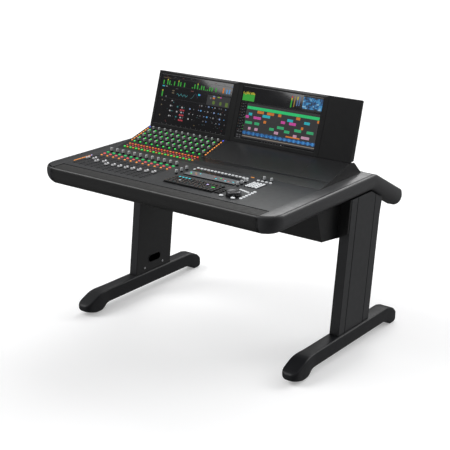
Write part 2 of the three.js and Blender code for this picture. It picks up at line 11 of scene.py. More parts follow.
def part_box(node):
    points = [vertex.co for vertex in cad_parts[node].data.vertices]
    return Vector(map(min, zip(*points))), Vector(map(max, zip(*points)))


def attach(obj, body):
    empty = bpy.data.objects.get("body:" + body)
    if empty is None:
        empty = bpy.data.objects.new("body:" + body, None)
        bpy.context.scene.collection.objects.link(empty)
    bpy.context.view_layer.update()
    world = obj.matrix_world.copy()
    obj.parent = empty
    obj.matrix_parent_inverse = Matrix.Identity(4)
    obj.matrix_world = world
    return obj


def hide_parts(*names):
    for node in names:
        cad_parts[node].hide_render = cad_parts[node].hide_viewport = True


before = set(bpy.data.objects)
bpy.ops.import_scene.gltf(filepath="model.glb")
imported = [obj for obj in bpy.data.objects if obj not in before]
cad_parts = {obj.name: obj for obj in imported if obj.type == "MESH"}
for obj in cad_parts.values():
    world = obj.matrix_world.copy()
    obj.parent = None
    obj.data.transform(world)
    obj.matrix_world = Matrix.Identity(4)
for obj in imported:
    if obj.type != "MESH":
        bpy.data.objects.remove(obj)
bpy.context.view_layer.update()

MM = 0.001

# Where the CAD puts things, in millimetres. Depths count from the foremost line of the front edge.
FRONT_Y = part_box("front_nose")[0].y / MM
DESK_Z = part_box("fader_panel")[1].z / MM
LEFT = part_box("fader_panel")[0].x / MM
INNER = -LEFT
RAIL_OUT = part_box("right_side_rail")[1].x / MM
GAP = 0.3
STRIP_Y, SLOPE_Y = 444.0, 516.0
STRIP_TILT, SLOPE_TILT, DISPLAY_TILT = map(math.radians, (10.8, 16.0, 72.1))
SLOPE_LEN = 172.4
SLOPE_Z = DESK_Z + (SLOPE_Y - STRIP_Y) * math.tan(STRIP_TILT)
DISPLAY_Y = SLOPE_Y + SLOPE_LEN * math.cos(SLOPE_TILT)
DISPLAY_Z = SLOPE_Z + SLOPE_LEN * math.sin(SLOPE_TILT)
NOSE_R, NOSE_H, NOSE_BULGE, CORNER_R = 48.0, 83.0, 27.0, 86.0
BEND_Y, RAIL_END_Y, RAIL_DROP, RAIL_END_LEAN = 797.0, 1044.0, 0.533, 0.08
BEND_EASE = 40.0
LEVEL_END = BEND_Y - BEND_EASE / 2
ARMREST_D = 85.0
LEG_IN = 575.5
FOOT_X, FOOT_W, TOE_W, FOOT_H = 601.0, 68.0, 82.0, 100.0
FOOT_TOE_Y, FOOT_HEEL_Y = 187.0, 1072.0
CHANNELS, PITCH, CHANNEL_X = 12, 36.3, 30.0
CHANNEL_KNOB_Y, FADER_Y = 372.0, 200.0
JOG = (906.0, 165.0)
PUSH_KEYS = {"stop": 872.0, "play": 932.0}
PUSH_KEY_Y = 125.0
SPINDLE_R, SPINDLE_FOOT = 2.9, -8.0

ROW = Matrix.Diagonal((MM, MM, MM, 1)) @ Matrix.Translation((0, FRONT_Y, 0))


def frame_at(y, z, tilt):
    """A local frame whose x counts from the left end of the panels and y runs up a panel."""
    return ROW @ Matrix.Translation((LEFT, y, z)) @ Matrix.Rotation(tilt, 4, "X")


DECK = frame_at(0, DESK_Z, 0)
STRIP = frame_at(STRIP_Y, DESK_Z, STRIP_TILT)
SLOPE = frame_at(SLOPE_Y, SLOPE_Z, SLOPE_TILT)
DISPLAY = frame_at(DISPLAY_Y, DISPLAY_Z, DISPLAY_TILT)


def side_frame(side):
    """The whole console's frame, mirrored for what stands on the left."""
    return ROW @ Matrix.Diagonal((1 if side == "right" else -1, 1, 1, 1))


def new_object(name, data):
    obj = bpy.data.objects.new(name, data)
    bpy.context.scene.collection.objects.link(obj)
    return obj


# ------------------------------------------------------------------- materials

class Nodes:
    """A short way to write a material's node tree."""

    def __init__(self, name):
        self.material = bpy.data.materials.new(name)
        self.material.use_nodes = True
        self.tree = self.material.node_tree
        self.tree.nodes.clear()
        self.shader = self.add("ShaderNodeBsdfPrincipled")
        self.link(self.shader.outputs[0], self.add("ShaderNodeOutputMaterial").inputs["Surface"])
        self.coords = self.add("ShaderNodeTexCoord").outputs["Object"]

    def add(self, kind, **settings):
        node = self.tree.nodes.new(kind)
        for key, value in settings.items():
            setattr(node, key, value)
        return node

    def link(self, source, target):
        self.tree.links.new(source, target)

    def noise(self, scale, detail, stretch=(1, 1, 1)):
        mapping = self.add("ShaderNodeMapping")
        mapping.inputs["Scale"].default_value = stretch
        self.link(self.coords, mapping.inputs["Vector"])
        noise = self.add("ShaderNodeTexNoise")
        noise.inputs["Scale"].default_value = scale
        noise.inputs["Detail"].default_value = detail
        self.link(mapping.outputs[0], noise.inputs["Vector"])
        return noise.outputs[0]

    def cells(self, scale):
        cells = self.add("ShaderNodeTexVoronoi", feature="DISTANCE_TO_EDGE")
        cells.inputs["Scale"].default_value = scale
        self.link(self.coords, cells.inputs["Vector"])
        return cells.outputs["Distance"]

    def span(self, value, low, high, start=0.3, end=0.7):
        node = self.add("ShaderNodeMapRange")
        for key, number in zip(("From Min", "From Max", "To Min", "To Max"), (start, end, low, high)):
            node.inputs[key].default_value = number
        self.link(value, node.inputs["Value"])
        return node.outputs[0]

    def roughen(self, value, low, high):
        self.link(self.span(value, low, high), self.shader.inputs["Roughness"])

    def paint(self, value, one, two, target="Base Color"):
        """Colours the shader's target from one to two as the value rises."""
        ramp = self.add("ShaderNodeValToRGB")
        for stop, position, colour in zip(ramp.color_ramp.elements, (0.3, 0.7), (one, two)):
            stop.position, stop.color = position, (*colour, 1)
        self.link(value, ramp.inputs["Fac"])
        self.link(ramp.outputs["Color"], self.shader.inputs[target])

    def bump(self, height, strength, distance):
        bump = self.add("ShaderNodeBump")
        bump.inputs["Strength"].default_value = strength
        bump.inputs["Distance"].default_value = distance
        self.link(height, bump.inputs["Height"])
        self.link(bump.outputs[0], self.shader.inputs["Normal"])

    def set(self, **values):
        for key, value in values.items():
            self.shader.inputs[key.replace("_", " ")].default_value = value


def shade(colour, factor):
    return tuple(c * factor for c in colour)


def coated(name, colour, rough, gloss=0.5, grain=1400.0, depth=0.15, cloud=0.04):
    """Powder coat, moulded plastic or anodising: a fine grain, faint clouding and uneven gloss."""
    n = Nodes(name)
    n.paint(n.noise(7, 4), shade(colour, 1 - cloud), shade(colour, 1 + cloud))
    n.roughen(n.noise(38, 5), rough * 0.92, rough * 1.08)
    n.bump(n.noise(grain, 2), depth, 0.0002)
    n.set(Specular_IOR_Level=gloss)
    return n.material


def brushed(name, colour, rough, stretch=(1, 40, 40)):
    n = Nodes(name)
    lines = n.noise(90, 3, stretch)
    n.paint(lines, shade(colour, 0.85), shade(colour, 1.1))
    n.roughen(lines, rough * 0.8, rough * 1.25)
    n.bump(lines, 0.1, 0.0001)
    n.set(Metallic=1.0)
    return n.material


def leather(name, colour):
    n = Nodes(name)
    n.paint(n.noise(11, 5), shade(colour, 0.92), shade(colour, 1.09))
    n.roughen(n.noise(55, 4), 0.52, 0.66)
    n.bump(n.span(n.cells(620), 0, 1, 0, 0.12), 0.2, 0.0002)
    n.set(Specular_IOR_Level=0.35)
    return n.material


def glow(name, colour, strength, body=None):
    """A lit key, lamp or picture element, a little brighter in places."""
    n = Nodes(name)
    n.paint(n.noise(160, 2), shade(colour, 0.8), colour, "Emission Color")
    n.paint(n.noise(60, 2), shade(body or colour, 0.7), body or colour)
    n.set(Emission_Strength=strength, Roughness=0.45)
    return n.material


def glass(name, colour, rough):
    n = Nodes(name)
    n.paint(n.noise(20, 3), shade(colour, 0.8), shade(colour, 1.2))
    n.roughen(n.noise(9, 5), rough * 0.7, rough * 1.3)
    n.set(Specular_IOR_Level=0.4)
    return n.material


M = {
    "rail": coated("rail_texture", (0.012, 0.0127, 0.0146), 0.38, 0.8),
    # Dark paint for the painted shadow line along each rail's outer top edge, standing in for the seam's
    # shade.
    "rail_shadow_paint": coated("rail_painted_shadow_line", (0.004, 0.004, 0.005), 0.6, 0.1),
    "nose": coated("nose_moulding", (0.005, 0.005, 0.0051), 0.34, 0.5),
    "armrest": leather("armrest_leather", (0.017, 0.0168, 0.0163)),
    "panel": coated("panel_anodised", (0.016, 0.017, 0.0192), 0.38, 0.5),
    "slope": coated("slope_anodised", (0.006, 0.0063, 0.0072), 0.3, 0.4),
    "housing": coated("display_housing", (0.005, 0.0052, 0.0058), 0.32, 0.3),
    "chassis": coated("chassis_powder", (0.006, 0.0062, 0.0067), 0.45, 0.4, 900, 0.25),
    "leg": coated("leg_powder", (0.013, 0.0138, 0.0158), 0.4, 0.5, 900, 0.12),
    "plate": coated("plate_powder", (0.006, 0.0063, 0.007), 0.42, 0.4, 900, 0.25),
    "foot": coated("foot_powder", (0.01, 0.0105, 0.0122), 0.42, 0.22, 800, 0.12),
    "slot": coated("slot_black", (0.002, 0.002, 0.0023), 0.7, 0.1),
    "black": coated("cap_black", (0.006, 0.006, 0.007), 0.36, 0.3),
    "key": coated("key_dark", (0.01, 0.01, 0.011), 0.45, 0.25),
    "white": coated("cap_white", (0.5, 0.51, 0.52), 0.4),
    "steel": brushed("turned_steel", (0.62, 0.64, 0.67), 0.28, (1, 1, 40)),
    "sheet": brushed("plain_sheet", (0.55, 0.56, 0.58), 0.4),
    "screw": brushed("screw_zinc", (0.75, 0.76, 0.78), 0.3, (8, 8, 8)),
    "board": coated("circuit_board", (0.01, 0.07, 0.025), 0.4),
    "screen": glass("screen_glass", (0.003, 0.003, 0.0045), 0.13),
    "cap_grey": coated("cap_light_grey", (0.6, 0.62, 0.63), 0.35),
    "fader_white": coated("fader_white", (0.78, 0.78, 0.8), 0.35),
    "wheel": brushed("wheel_anodised", (0.1, 0.1, 0.105), 0.3, (1, 1, 40)),
    "legend_sand": coated("legend_sand", (0.2, 0.12, 0.06), 0.5),
    "legend_red": coated("legend_red", (0.22, 0.06, 0.04), 0.5),
    "legend_teal": coated("legend_teal", (0.03, 0.14, 0.14), 0.5),
    "lcd": glow("small_display", (0.13, 0.14, 0.155), 0.6, (0.05, 0.05, 0.05)),
}
GLOWS = {
    "green": ((0.05, 0.7, 0.09), 0.75), "mint": ((0.03, 0.62, 0.14), 0.5), "pink": ((0.85, 0.12, 0.13), 0.6),
    "red": ((0.8, 0.06, 0.05), 0.7), "orange": ((0.95, 0.33, 0.06), 0.9), "amber": ((0.75, 0.3, 0.05), 0.6),
    "blue": ((0.1, 0.12, 0.9), 0.9), "lilac": ((0.6, 0.5, 0.9), 0.9), "cyan": ((0.03, 0.65, 0.75), 0.9),
    "lit_white": ((0.8, 0.82, 0.84), 0.3), "pink_dim": ((0.6, 0.14, 0.17), 0.5),
    "lcd_amber": ((0.6, 0.35, 0.1), 0.8), "lcd_red": ((0.5, 0.1, 0.08), 0.8),
}
for key, (colour, strength) in GLOWS.items():
    M[key] = glow("lamp_" + key, colour, strength)


# ------------------------------------------------------------------ mesh making

def rounded(x0, x1, y0, y1, r, z, steps=3):
    """A rounded rectangle at height z, counter-clockwise."""
    r = min(r, (x1 - x0) / 2 - 0.01, (y1 - y0) / 2 - 0.01)
    corners = ((x1 - r, y0 + r, -90), (x1 - r, y1 - r, 0), (x0 + r, y1 - r, 90), (x0 + r, y0 + r, 180))
    ring = []
    for cx, cy, start in corners:
        for i in range(steps + 1):
            a = math.radians(start + 90 * i / steps)
            ring.append((cx + r * math.cos(a), cy + r * math.sin(a), z))
    return ring


class Shape:
    """Closed forms in one local frame, which become the mesh of one piece."""

    def __init__(self, place):
        self.place = place
        self.verts, self.faces, self.slots, self.slot_names = [], [], [], []

    def slot(self, name):
        if name not in self.slot_names:
            self.slot_names.append(name)
        return self.slot_names.index(name)

    def loft(self, rings, look, caps=(True, True)):
        base, n, slot = len(self.verts), len(rings[0]), self.slot(look)
        for ring in rings:
            self.verts += ring
        made = []
        for i in range(len(rings) - 1):
            a, b = base + i * n, base + (i + 1) * n
            for j in range(n):
                k = (j + 1) % n
                made.append((a + j, a + k, b + k, b + j))
        if caps[0]:
            made.append(tuple(reversed(range(base, base + n))))
        if caps[1]:
            made.append(tuple(range(base + (len(rings) - 1) * n, base + len(rings) * n)))
        self.faces += made
        self.slots += [slot] * len(made)

    def pad(self, x0, x1, y0, y1, z0, z1, look, r=1.5, edge=0.8, steps=3, draft=0.0):
        """A key or plate with rounded corners, a soft top edge and a little draft."""
        rings = [(0, z0), (draft, z1 - edge), (draft + edge * 0.3, z1 - edge * 0.3), (draft + edge, z1)]
        self.loft([rounded(x0 + d, x1 - d, y0 + d, y1 - d, r, z, steps) for d, z in rings], look)

    def inlay(self, x0, x1, y0, y1, r, z0, z1, look, steps=3):
        """A thin mark or plate that lies on a surface, open underneath."""
        self.loft([rounded(x0, x1, y0, y1, r, z, steps) for z in (z0, z1)], look, (False, True))

    def spindle(self, x, y, top, look="steel"):
        """The shaft under a knob, wheel or key, down into the deck."""
        profile = [(0.01, SPINDLE_FOOT), (SPINDLE_R, SPINDLE_FOOT), (SPINDLE_R, top), (0.01, top)]
        self.turn(profile, x, y, look, 16)

    def turn(self, profile, x, y, look, sides=24, wave=0.0, waves=0):
        """A turned form. profile lists (radius, z) from the bottom up; waves knurl its widest part."""
        widest = max(r for r, z in profile)
        rings = []
        for r, z in profile:
            ring = []
            for i in range(sides):
                a = 2 * math.pi * i / sides
                rr = r + (wave * math.cos(waves * a) if waves and r > widest * 0.9 else 0)
                ring.append((x + rr * math.cos(a), y + rr * math.sin(a), z))
            rings.append(ring)
        self.loft(rings, look)

    def piece(self, name, body, record_slot, smooth=40, replaces=()):
        mesh = bpy.data.meshes.new(name)
        points = [self.place @ Vector(v) for v in self.verts]
        mesh.from_pydata(points, [], self.faces)
        for look in self.slot_names:
            mesh.materials.append(M[look])
        mesh.polygons.foreach_set("material_index", self.slots)
        work = bmesh.new()
        work.from_mesh(mesh)
        bmesh.ops.recalc_face_normals(work, faces=work.faces)
        for edge in work.edges:
            sharp = len(edge.link_faces) != 2 or edge.calc_face_angle(0) > math.radians(smooth)
            edge.smooth = not sharp
        for face in work.faces:
            face.smooth = True
        work.to_mesh(mesh)
        work.free()
        obj = new_object(name, mesh)
        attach(obj, body)
        if replaces:
            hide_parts(*replaces)
        return obj


def dress(node, look, bevel):
    """Keeps a CAD node, softens its edges and gives it a finished material."""
    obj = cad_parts[node]
    obj.data.materials.clear()
    obj.data.materials.append(M[look])
    weld = obj.modifiers.new("weld", "WELD")
    weld.merge_threshold = 1e-5
    edge = obj.modifiers.new("bevel", "BEVEL")
    edge.width = bevel * MM
    edge.segments = 2
    edge.limit_method = "ANGLE"
    edge.angle_limit = math.radians(35)


# ------------------------------------------------- rails, front edge and armrest

def edge_profile(steps=14):
    """The rounded edge as (inset, depth) pairs from the top surface down."""
    points = [(8.6, 0.0), (6.8, 1.2), (5.1, 3.3), (3.6, 6.3), (2.3, 10.2), (1.25, 15), (0.5, 20.5),
              (0.1, 25.5)]
    for i in range(steps + 1):
        a = math.pi / 2 * i / steps
        depth = NOSE_BULGE + (NOSE_H - NOSE_BULGE) * math.sin(a)
        points.append((NOSE_R * (1 - math.cos(a)), depth))
    return points


def corner(inset, steps=24):
    """The rail's round front corner at an inset, as (x, y) points from the front to the side."""
    r = CORNER_R - inset
    turns = [math.radians(-90 + 90 * i / steps) for i in range(steps + 1)]
    return [(RAIL_OUT - CORNER_R + r * math.cos(a), CORNER_R + r * math.sin(a)) for a in turns]


def rail_top(y):
    """The rail's top line, with the bend eased over BEND_EASE."""
    past = y - LEVEL_END
    if past <= 0:
        return DESK_Z
    if past < BEND_EASE:
        return DESK_Z - RAIL_DROP * past * past / (2 * BEND_EASE)
    return DESK_Z - RAIL_DROP * (y - BEND_Y)


def rail(side):
    profile = edge_profile()
    x0 = INNER + GAP
    shape = Shape(side_frame(side))
    rings = []
    for inset, depth in reversed(profile):
        outline = [(x0, inset), *corner(inset), (RAIL_OUT - inset, LEVEL_END), (x0, LEVEL_END)]
        rings.append([(x, y, DESK_Z - depth) for x, y in outline])
    shape.loft(rings, "rail")
    stations = [(LEVEL_END + BEND_EASE * i / 10, 0, 0) for i in range(11)]
    stations += [(RAIL_END_Y - back, RAIL_END_LEAN, shrink)
                 for back, shrink in ((9, 0), (3, 0.4), (1, 1.3), (0, 2.8))]
    sections = []
    for y, tilt, shrink in stations:
        section = [(x0, y, rail_top(y) - shrink)]
        for inset, depth in profile:
            d = min(max(depth, shrink), NOSE_H - shrink * 0.5)
            yy = y - d * tilt
            section.append((max(RAIL_OUT - inset - shrink, x0 + 1), yy, rail_top(yy) - d))
        yy = y - NOSE_H * tilt
        section.append((x0, yy, rail_top(yy) - NOSE_H))
        sections.append(section)
    shape.loft(sections, "rail")
    shape.piece(side + "_rail", "console", "rail", 50, [side + "_side_rail"])


def rail_shadow_line(side):
    """A painted shadow line: a fine dark strip laid on the rail's top, close to its outer edge, where the
    seam's shade falls.
    """
    shape = Shape(side_frame(side))
    inset, width, lift, root = 8.7, 4.4, 0.12, 0.3
    paths = [[(INNER + 1, d), *corner(d), *((RAIL_OUT - d, y) for y in range(100, 1040, 10))]
             for d in (inset, inset + width)]
    rings = []
    for (xo, yo), (xi, yi) in zip(*paths):
        zo, zi = rail_top(yo), rail_top(yi)
        rings.append([(xo, yo, zo - root), (xo, yo, zo + lift), (xi, yi, zi + lift), (xi, yi, zi - root)])
    shape.loft(rings, "rail_shadow_paint")
    shape.piece(side + "_rail_painted_shadow_line", "console", "rail")


def front_edge():
    shape = Shape(ROW)
    lip, groove, under = 7.2, 9.0, DESK_Z - 20.3
    section = [(lip, DESK_Z - 1.6)] + [(i, DESK_Z - d) for i, d in edge_profile()[1:]]
    section += [(ARMREST_D, DESK_Z - NOSE_H), (ARMREST_D, under), (groove, under), (lip, DESK_Z - 8)]
    rings = [[(x, y, z) for y, z in section] for x in (LEFT, -INNER / 3, INNER / 3, INNER)]
    shape.loft(rings, "nose")
    shape.piece("front_edge", "console", "nose", 45, ["front_nose"])


def rolled(distance, roll):
    """How far a rolled edge has fallen at a distance from the edge."""
    return roll * (1 - math.sqrt(max(0.0, 1 - (1 - min(distance, roll) / roll) ** 2)))


def armrest():
    """The padded strip: crowned, with rolled edges."""
    lo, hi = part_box("armrest_pad")
    x0, x1 = lo.x / MM + 0.5, hi.x / MM - 0.5
    y0, y1 = 9.3, 83.7
    z0, z1 = DESK_Z - 20, DESK_Z - 0.9
    across, along, roll = 22, 150, 5.0
    shape = Shape(ROW)
    rings = []
    for i in range(along + 1):
        t = i / along
        x = x0 + (x1 - x0) * t
        draw = rolled(min(t, 1 - t) * (x1 - x0), roll)
        ring = []
        for j in range(across + 1):
            s = j / across
            y = y0 + (y1 - y0) * s
            fall = rolled(min(y - y0, y1 - y), roll)
            crown = 1.6 * math.sin(math.pi * s) ** 0.7 if 0 < s < 1 else 0
            ripple = 0.10 * math.sin(x * 0.11 + 1.3 * math.sin(y * 0.09)) * math.sin(math.pi * s)
            ring.append((x, y, z1 - max(fall, draw) + crown + ripple))
        ring += [(x, y1, z0), (x, y0, z0)]
        rings.append(ring)
    shape.loft(rings, "armrest")
    pad = shape.piece("armrest_cushion", "console", "armrest", 60, ["armrest_pad"])


# ------------------------------------------------------------------ legs and feet

def height_on(line, y):
    """The height of a line of (y, z) points at y."""
    for (ya, za), (yb, zb) in zip(line, line[1:]):
        if y <= yb:
            return za + (zb - za) * (y - ya) / (yb - ya)
    return line[-1][1]


def foot(side):
    """A cast foot: cross-sections from toe to heel, each a rounded box between two side lines."""
    length = FOOT_HEEL_Y - FOOT_TOE_Y
    top = [(0, 43), (1, 48), (3.5, 52), (9, 57), (18, 61.5), (27, 66), (42, 73), (60, 81), (80, 89.5),
           (100, 95.5), (120, 99), (145, FOOT_H), (length - 96, FOOT_H), (length - 62, 91), (length - 30, 75),
           (length - 10, 56), (length - 3, 44), (length, 36)]
    low = [(0, 34), (2, 29), (7, 24), (16, 19.5), (30, 14), (50, 7), (70, 1.5), (84, 0), (104, 0), (116, 5),
           (126, 14), (136, 24), (146, 29), (160, 31), (length - 122, 31), (length - 96, 26),
           (length - 74, 13), (length - 54, 0), (length - 24, 0), (length - 9, 6), (length - 2, 18),
           (length, 32)]
    ends = (0.4, 1.5, 3, 5, 10, 14)
    stations = sorted({*[length * i / 120 for i in range(121)], *ends, 20, 26, 88, 96, 104,
                       *[length - back for back in ends]})
    shape = Shape(side_frame(side))
    rings = []
    for y in stations:
        half, heel_r = TOE_W / 2, 18.0
        narrowed = min(max((y - 70) / 110, 0), 1)
        if y < half:
            half *= max(1 - (1 - y / half) ** 2.5, 0.005) ** 0.4
        elif y <= length - heel_r:
            half -= (TOE_W - FOOT_W) / 2 * narrowed * narrowed * (3 - 2 * narrowed)
        else:
            d = y - (length - heel_r)
            half = FOOT_W / 2 - heel_r + math.sqrt(max(heel_r ** 2 - d * d, 0.5))
        zt, zl = height_on(top, y), height_on(low, y)
        along = min(max((y - 100) / 45, 0), 1)
        bevel_top = min(9.0, half * 0.6, (zt - zl) * 0.45)
        bevel_low = min(24.0 - 13 * along, half * 0.6, (zt - zl) * 0.5)
        ring = []
        for cx, cz, r, a0 in ((half - bevel_low, zl + bevel_low, bevel_low, -90),
                              (half - bevel_top, zt - bevel_top, bevel_top, 0),
                              (-half + bevel_top, zt - bevel_top, bevel_top, 90),
                              (-half + bevel_low, zl + bevel_low, bevel_low, 180)):
            for i in range(6):
                a = math.radians(a0 + 18 * i)
                ring.append((FOOT_X + cx + r * math.cos(a), FOOT_TOE_Y + y, cz + r * math.sin(a)))
        rings.append(ring)
    shape.loft(rings, "foot")
    shape.piece(side + "_cast_foot", "console", "foot", 60, [side + "_foot"])


def leg_screws(side):
    """The screws that hold the inner plate, each with a round recess."""
    face = Matrix.Translation((LEG_IN, 0, 0)) @ Matrix.Rotation(-math.pi / 2, 4, "Y")
    shape = Shape(side_frame(side) @ face)
    for z, y in ((124, 620), (124, 757), (560, 668), (560, 812)):
        shape.turn([(0.01, 0), (5.6, 0), (5.6, 1.2), (4.8, 2.2), (2.7, 2.3), (2.6, 1.0), (0.01, 1.0)],
                   z, y, "screw", 18)
    shape.piece(side + "_leg_screws", "console", "supply")


def hole_lining(side):
    """The black edging of the cable hole."""
    cy, cz, length, height = 696, 163, 94, 40
    shape = Shape(side_frame(side))
    rings = []
    for x, d in ((LEG_IN - 1.2, 2.2), (LEG_IN - 1.2, -1.4), (LEG_IN + 0.2, -1.8)):
        rings.append([(x, py, pz) for py, pz, _ in rounded(
            cy - length / 2 + d, cy + length / 2 - d, cz - height / 2 + d, cz + height / 2 - d, 30, 0, 10)])
    shape.loft(rings, "black", (False, False))
    shape.piece(side + "_cable_hole_trim", "console", "plate")


# ---------------------------------------------------------------------- fader bay

def channel_x(channel):
    return CHANNEL_X + PITCH * channel


def fader_bay():
    slots = Shape(DECK)
    marks = Shape(DECK)
    for k in range(CHANNELS):
        x = channel_x(k)
        slots.inlay(x - 3.4, x + 3.4, 116, 288, 3.2, -0.2, 0.15, "slot")
        for groove in (x - 12.5, x + 12.5):
            slots.inlay(groove - 1.4, groove + 1.4, 122, 282, 1.2, -0.2, 0.12, "slot")
        for i in range(11):
            y = 150 + 10 * i
            long = 3.6 if i % 5 == 0 else 2.2
            for sx in (-1, 1):
                a, b = sorted((x + sx * 4.2, x + sx * (4.2 + long)))
                marks.inlay(a, b, y - 0.2, y + 0.2, 0.1, 0, 0.1, "steel", 1)
    slots.piece("fader_slots", "console", "slope")
    marks.piece("fader_scales", "console", "panel")

    keys = Shape(DECK)
    for k in range(CHANNELS):
        x = channel_x(k)
        keys.pad(x - 6.2, x + 6.2, 342, 352, 0, 3.6, "mint", 2.4, 1.2)
        keys.pad(x - 4.4, x + 6.8, 317.5, 326.5, 0, 3.2, "pink", 2.2, 1.1)
        keys.pad(x + 1.8, x + 10.2, 293, 300, 0, 2.8, "orange", 2.0, 1.0)
        keys.pad(x - 11.5, x - 6.5, 304, 309, 0, 1.8, "key", 1.5, 0.8)
    keys.piece("channel_keys", "console", "light_key")

    lamps = Shape(DECK)
    for i in range(12):
        y = 148 + 9.2 * i
        lamps.pad(1.2, 4.6, y, y + 7.6, 0, 1.6, "orange", 1.0, 0.6)
    lamps.pad(1.2, 4.6, 259, 268, 0, 1.8, "lilac", 1.0, 0.6)
    lamps.piece("left_lamp_strip", "console", "light_key")

    skirts = Shape(DECK)
    profile = [(9.4, 0), (9.4, 0.5), (8.6, 0.7), (7.9, 0.5), (0.01, 0.5)]
    for k in range(CHANNELS):
        skirts.turn(profile, channel_x(k), CHANNEL_KNOB_Y, "black", 28)
    skirts.piece("channel_knob_rings", "console", "slope")


def fader_cap(k, rest):
    """A white saddle with raised ends over a black foot, and a fine centre line."""
    x, y = channel_x(k), FADER_Y + rest
    shape = Shape(DECK)
    outline = []
    for j in range(29):
        t = -1 + 2 * j / 28
        rise = 4.0 + 6.4 * min(1.0, abs(t) / 0.72) ** 2.2
        if abs(t) > 0.80:
            rise -= 4.6 * ((abs(t) - 0.80) / 0.20) ** 2
        outline.append((t * 11, rise))
    half, foot_z, reach = 5.4, 1.2, 10.6
    rounding = ((0.0, 0.9), (0.35, 0.25), (0.9, 0.0))
    across = [(dx - half, drop) for dx, drop in rounding]
    across += [(-u, drop) for u, drop in reversed(across)]
    rings = [[(x + u, y + v, foot_z + h - drop) for v, h in outline]
             + [(x + u, y + reach, foot_z), (x + u, y - reach, foot_z)] for u, drop in across]
    shape.loft(rings, "fader_white")
    shape.pad(x - 5.8, x + 5.8, y - 11.2, y + 11.2, 0.9, 3.0, "black", 1.2, 0.5)
    shape.pad(x - 5.0, x + 5.0, y - 4.4, y + 4.4, 3.0, 6.6, "black", 0.8, 0.4)
    shape.pad(x - 5.0, x + 5.0, y - 0.35, y + 0.35, 6.4, 6.9, "white", 0.2, 0.1, 1)
    shape.loft([rounded(x - 0.8, x + 0.8, y - 4, y + 4, 0.3, z, 1) for z in (-8, 1.5)], "steel")
    n = f"{k + 1:02d}"
    shape.piece(f"fader_{n}_cap", f"fader_{n}", "fader", 35, [f"fader_cap_{n}"])


def tall_knob(shape, x, y, z, radius, height, sides=36):
    """A tall cap with fine knurling on a skirt, and a pointer line."""
    skirt = radius + 0.8
    shape.turn([(skirt - 1, z), (skirt, z + 0.5), (skirt, z + 3.2), (skirt - 0.5, z + 3.8), (0.01, z + 3.9)],
               x, y, "black", 28)
    r = radius
    shape.turn([(r - 1.0, z + 3.6), (r - 0.2, z + 4.0), (r, z + 5.0), (r - 0.25, z + height - 1.6),
                (r - 0.7, z + height - 0.6), (r - 1.5, z + height - 0.1), (r - 2.4, z + height),
                (0.01, z + height - 0.25)], x, y, "cap_grey", sides, 0.16, sides // 2)
    top = z + height
    shape.pad(x - 0.4, x + 0.4, y + 1.0, y + r - 0.8, top - 0.3, top + 0.25, "black", 0.2, 0.1, 1)


def channel_knob(k):
    x, n = channel_x(k), f"{k + 1:02d}"
    shape = Shape(DECK)
    shape.spindle(x, CHANNEL_KNOB_Y, 1.2)
    tall_knob(shape, x, CHANNEL_KNOB_Y, 0.9, 6.2, 18.2)
    shape.piece(f"knob_{n}_cap", f"knob_{n}", "knob", 35, [f"channel_knob_{n}"])


# ------------------------------------------------------- button strip and slope

def strip_keys():
    shape = Shape(STRIP)
    for k in range(CHANNELS):
        x = 26.5 + PITCH * k
        shape.pad(x - 5.2, x + 5.2, 19.3, 27.3, 0, 3.0, "green", 2.2, 1.1)
        shape.pad(x + 12.6, x + 21.6, 19.8, 27.0, 0, 2.8, "amber", 2.0, 1.0)
        shape.pad(x - 3.4, x + 3.4, 38.0, 43.4, 0, 2.2, "pink_dim", 1.6, 0.8)
        shape.pad(x + 14.2, x + 20.6, 38.0, 43.4, 0, 2.2, "pink_dim", 1.6, 0.8)
        shape.pad(x - 2.6, x + 6.6, 55.4, 63.2, 0, 2.8, "amber", 2.0, 1.0)
        shape.pad(x + 15.4, x + 25.0, 54.6, 62.2, 0, 2.8, "red", 2.0, 1.0)
    shape.piece("strip_keys", "console", "light_key")


def slope_controls():
    keys = Shape(SLOPE)
    knobs = Shape(SLOPE)
    rings = Shape(SLOPE)
    for k in range(CHANNELS):
        for y in (15.3, 54, 93, 132):
            x = 32.5 + PITCH * k
            keys.pad(x - 4.6, x + 4.6, y - 4.0, y + 4.0, 0, 2.6, "green", 2.4, 1.1)
        for y in (27, 66, 105, 144):
            x = 50 + PITCH * k
            rings.turn([(8.2, 0), (8.2, 0.6), (7.6, 0.8), (0.01, 0.8)], x, y, "black", 28)
            tall_knob(knobs, x, y, 0.6, 5.0, 16.4, 24)
    keys.piece("slope_keys", "console", "light_key")
    knobs.piece("slope_knobs", "console", "knob")
    rings.piece("slope_knob_rings", "console", "slope")

    lamps = Shape(SLOPE)
    for x in (11.5, 465.0):
        for i in range(8):
            y = 20 + 17.2 * i
            lamps.pad(x - 2.6, x + 2.6, y - 3.6, y + 5.8, 0, 1.8, "orange", 1.2, 0.7)
        lamps.pad(x - 2.6, x + 2.6, 154, 162, 0, 2.0, "blue", 1.2, 0.7)
    lamps.piece("slope_lamp_strips", "console", "light_key")


# ------------------------------------------------------------------ editor bay

